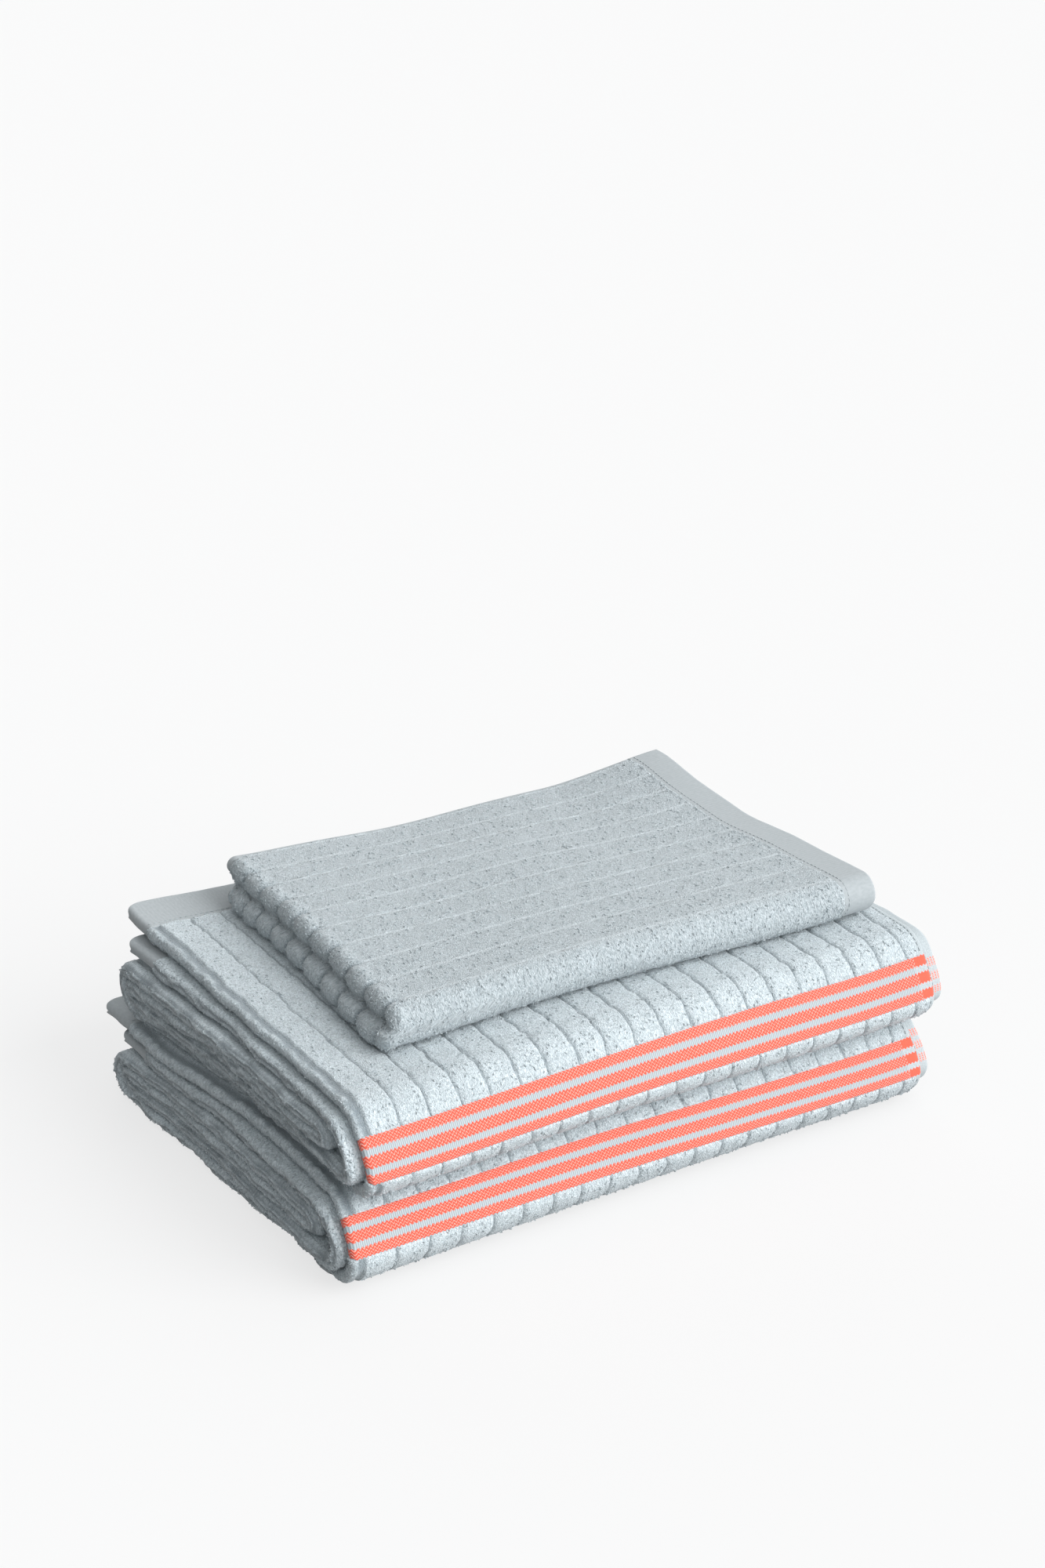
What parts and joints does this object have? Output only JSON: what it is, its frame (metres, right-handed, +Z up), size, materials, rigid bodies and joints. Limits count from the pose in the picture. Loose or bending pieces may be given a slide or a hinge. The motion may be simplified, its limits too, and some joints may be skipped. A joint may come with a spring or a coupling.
{
  "type": "bath towel set",
  "caption": "Stack of folded ribbed terry towels: striped-border bath towels with a smaller hand towel on top, creased and hemmed in flat weave.",
  "frame": {"origin": "middle of the stack's footprint, on the surface it rests on", "axes": "+X along the striped front folds towards the selvages, +Y from the striped front to the back, +Z up"},
  "size_m": [0.358, 0.262, 0.1206],
  "materials": {
    "terry_cotton": "looped cotton terry, pale blue-grey melange, matt",
    "striped_border": "flat dobby weave, coral stripes on pale blue-grey, matt",
    "flat_woven_hem": "flat cotton weave, pale blue-grey, matt",
    "sewing_thread": "spun polyester thread, pale blue-grey"
  },
  "bodies": {
    "lower_bath_towel": {"lower_towel_terry": "terry_cotton", "lower_towel_striped_border": "striped_border", "lower_towel_outer_end_hem": "flat_woven_hem", "lower_towel_inner_end_hem": "flat_woven_hem", "lower_towel_face_side_hem": "flat_woven_hem", "lower_towel_under_side_hem": "flat_woven_hem", "lower_towel_hem_thread": "sewing_thread"},
    "upper_bath_towel": {"upper_towel_terry": "terry_cotton", "upper_towel_striped_border": "striped_border", "upper_towel_outer_end_hem": "flat_woven_hem", "upper_towel_inner_end_hem": "flat_woven_hem", "upper_towel_face_side_hem": "flat_woven_hem", "upper_towel_under_side_hem": "flat_woven_hem", "upper_towel_hem_thread": "sewing_thread"},
    "hand_towel": {"hand_towel_terry": "terry_cotton", "hand_towel_outer_end_hem": "flat_woven_hem", "hand_towel_inner_end_hem": "flat_woven_hem", "hand_towel_face_side_hem": "flat_woven_hem", "hand_towel_under_side_hem": "flat_woven_hem", "hand_towel_hem_thread": "sewing_thread"}
  },
  "joints": [
    {"name": "upper_towel_lift", "type": "slide", "parent": "lower_bath_towel", "child": "upper_bath_towel", "axis": [0, 0, 1], "range_m": [0, 0.12]},
    {"name": "hand_towel_lift", "type": "slide", "parent": "upper_bath_towel", "child": "hand_towel", "axis": [0, 0, 1], "range_m": [0, 0.1]}
  ]
}
